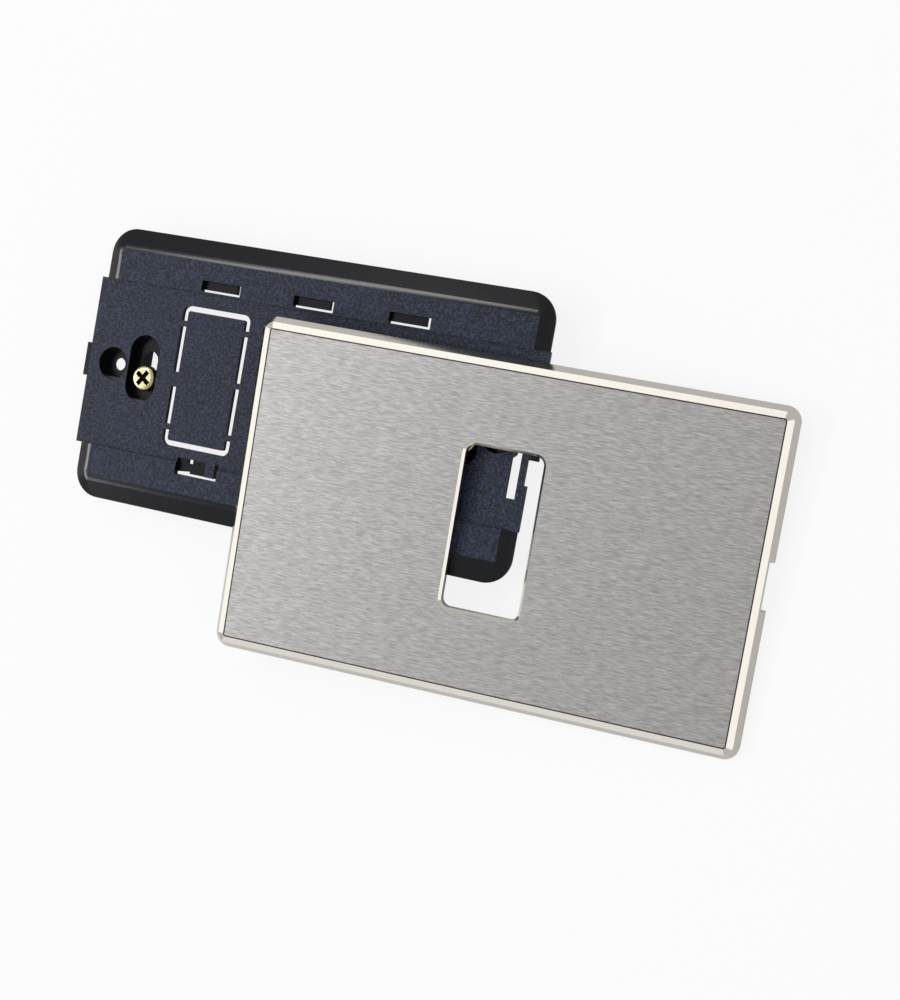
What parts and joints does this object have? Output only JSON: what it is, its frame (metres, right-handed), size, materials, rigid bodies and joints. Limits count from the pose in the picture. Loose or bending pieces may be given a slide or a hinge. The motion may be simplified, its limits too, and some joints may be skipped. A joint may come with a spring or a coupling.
{
  "type": "switch plate",
  "caption": "Brushed metal switch cover plate with one narrow window, lying across its black moulded mounting frame with knock-outs, hooks and fixing screws in slots.",
  "frame": {"origin": "middle of the part's footprint box on the ground, as the frame lies on its back with the plate across its end", "axes": "+X along the frame's length towards the end under the cover plate, +Y across it towards the edge that is up on a wall, +Z out of the wall, up as the frame lies on its back"},
  "size_m": [0.1724, 0.0926, 0.018],
  "materials": {
    "brushed_metal": "face brushed along its length, rim and window collar polished",
    "black_plastic": "fine pebbled texture, matt",
    "yellow_zinc": "yellow zinc plating, bright"
  },
  "bodies": {
    "base": {"mounting_frame": "black_plastic", "cover_plate": "brushed_metal"},
    "left_fixing": {"screw_left": "yellow_zinc"},
    "right_fixing": {"screw_right": "yellow_zinc"}
  },
  "joints": [
    {"name": "screw_left_slide", "type": "slide", "parent": "base", "child": "left_fixing", "axis": [0, 1, 0], "range_m": [-0.0006, 0.005]},
    {"name": "screw_right_slide", "type": "slide", "parent": "base", "child": "right_fixing", "axis": [0, 1, 0], "range_m": [-0.0006, 0.005]}
  ]
}
